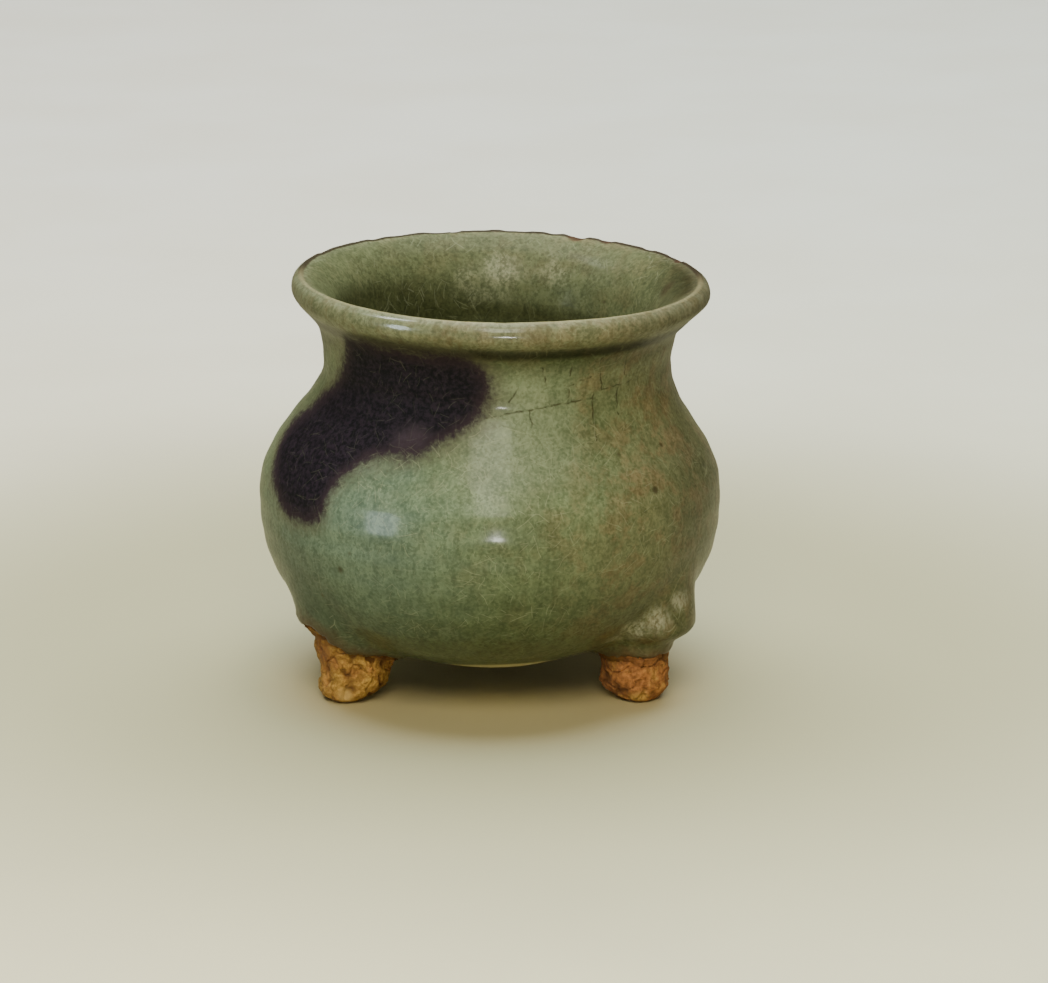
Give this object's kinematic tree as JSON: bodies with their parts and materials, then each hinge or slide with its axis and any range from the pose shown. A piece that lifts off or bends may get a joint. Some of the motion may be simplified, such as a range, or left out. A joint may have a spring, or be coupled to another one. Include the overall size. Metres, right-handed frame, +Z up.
{
  "type": "tripod incense burner",
  "caption": "Small round-bodied ceramic incense burner with a flared rim, a narrow neck and short feet under a thick green glaze with a purple splash.",
  "frame": {"origin": "on the surface the burner stands on, straight under the middle of its belly", "axes": "+Z up, out of the mouth; -Y towards the front, between two of the feet; +X to the right seen from the front"},
  "size_m": [0.08, 0.08, 0.0725],
  "materials": {
    "stoneware": "matte",
    "bare_clay": "matte",
    "luting_slip": "matte",
    "outer_glaze": "gloss",
    "inner_glaze": "gloss",
    "copper_splash": "gloss"
  },
  "bodies": {
    "root": {"thrown_body": "stoneware", "inner_glaze": "inner_glaze", "outer_glaze": "outer_glaze", "purple_splash": "copper_splash", "foot_front_left": "bare_clay", "foot_front_right": "bare_clay", "foot_back": "bare_clay", "slip_front_left": "luting_slip", "slip_front_right": "luting_slip", "slip_back": "luting_slip"}
  },
  "joints": []
}
